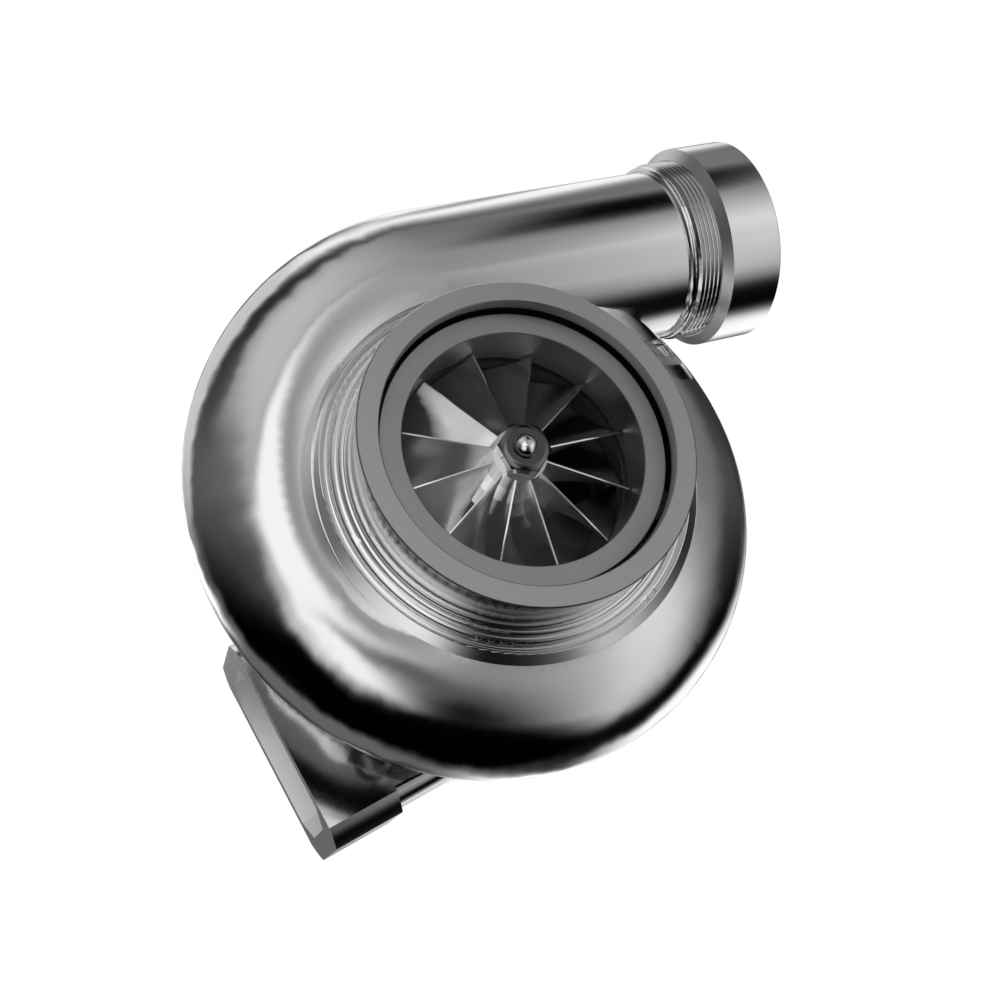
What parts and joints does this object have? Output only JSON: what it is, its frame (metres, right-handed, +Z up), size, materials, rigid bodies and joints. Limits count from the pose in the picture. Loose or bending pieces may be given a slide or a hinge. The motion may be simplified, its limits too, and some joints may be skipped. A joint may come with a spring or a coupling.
{
  "type": "turbocharger",
  "caption": "Exhaust turbocharger with a polished snail-shell compressor, ported inlet, threaded outlet collar, journal-bearing centre section and slot-flanged turbine.",
  "frame": {"origin": "on the shaft axis, in the plane of the compressor inlet face", "axes": "+Y along the shaft from the compressor inlet to the turbine outlet, +Z up away from the turbine inlet flange, +X to the right seen from the inlet"},
  "size_m": [0.189, 0.172, 0.231],
  "materials": {
    "polished_cast_aluminium": "mirror polished",
    "polished_collar": "mirror polished",
    "machined_aluminium": "satin machined",
    "milled_wheel": "milled satin",
    "bright_steel": "bright ground",
    "nickel_alloy": "cast and ground",
    "black_rubber": "matte",
    "zinc_steel": "zinc plated",
    "dark_steel": "black oxide",
    "ground_steel": "ground",
    "bearing_bronze": "turned",
    "cast_iron_housing": "cast, fine grain",
    "copper_washer": "dull copper",
    "fibre_gasket": "pressed fibre",
    "polished_steel_housing": "polished",
    "heat_tinted_steel": "heat tinted",
    "stainless_band": "brushed"
  },
  "bodies": {
    "housings": {"compressor_housing": "polished_cast_aluminium", "outlet_collar": "polished_collar", "inlet_shroud_ring": "machined_aluminium", "backplate": "machined_aluminium", "backplate_o_ring": "black_rubber", "bearing_housing_o_ring": "black_rubber", "compressor_clamp_plates": "zinc_steel", "compressor_clamp_bolts": "zinc_steel", "backplate_bolts": "dark_steel", "compressor_seal_ring": "ground_steel", "turbine_seal_ring": "ground_steel", "thrust_bearing": "bearing_bronze", "thrust_bearing_pins": "ground_steel", "bearing_snap_rings": "dark_steel", "bearing_housing": "cast_iron_housing", "oil_feed_fitting": "zinc_steel", "oil_feed_washer": "copper_washer", "oil_drain_gasket": "fibre_gasket", "oil_drain_fitting": "zinc_steel", "oil_drain_bolts": "dark_steel", "water_port_plugs": "zinc_steel", "water_port_washers": "copper_washer", "turbine_housing": "polished_steel_housing", "heat_shield": "heat_tinted_steel", "v_band_clamp": "stainless_band", "v_band_bolt": "zinc_steel", "v_band_nut": "zinc_steel"},
    "rotor": {"turbine_wheel_and_shaft": "nickel_alloy", "compressor_wheel": "milled_wheel", "compressor_nut": "bright_steel", "oil_flinger": "ground_steel", "thrust_collar": "ground_steel"},
    "front_bearing": {"front_journal_bearing": "bearing_bronze"},
    "rear_bearing": {"rear_journal_bearing": "bearing_bronze"}
  },
  "joints": [
    {"name": "rotor_spin", "type": "hinge", "parent": "housings", "child": "rotor", "pos_m": [0, 0.0885, 0], "axis": [0, 1, 0], "continuous": true},
    {"name": "front_bearing_float", "type": "hinge", "parent": "housings", "child": "front_bearing", "pos_m": [0, 0.08475, 0], "axis": [0, 1, 0], "continuous": true},
    {"name": "rear_bearing_float", "type": "hinge", "parent": "housings", "child": "rear_bearing", "pos_m": [0, 0.09825, 0], "axis": [0, 1, 0], "continuous": true}
  ],
  "couplings": [
    {"joint": "front_bearing_float", "follows": "rotor_spin", "ratio": 0.3},
    {"joint": "rear_bearing_float", "follows": "rotor_spin", "ratio": 0.3}
  ]
}
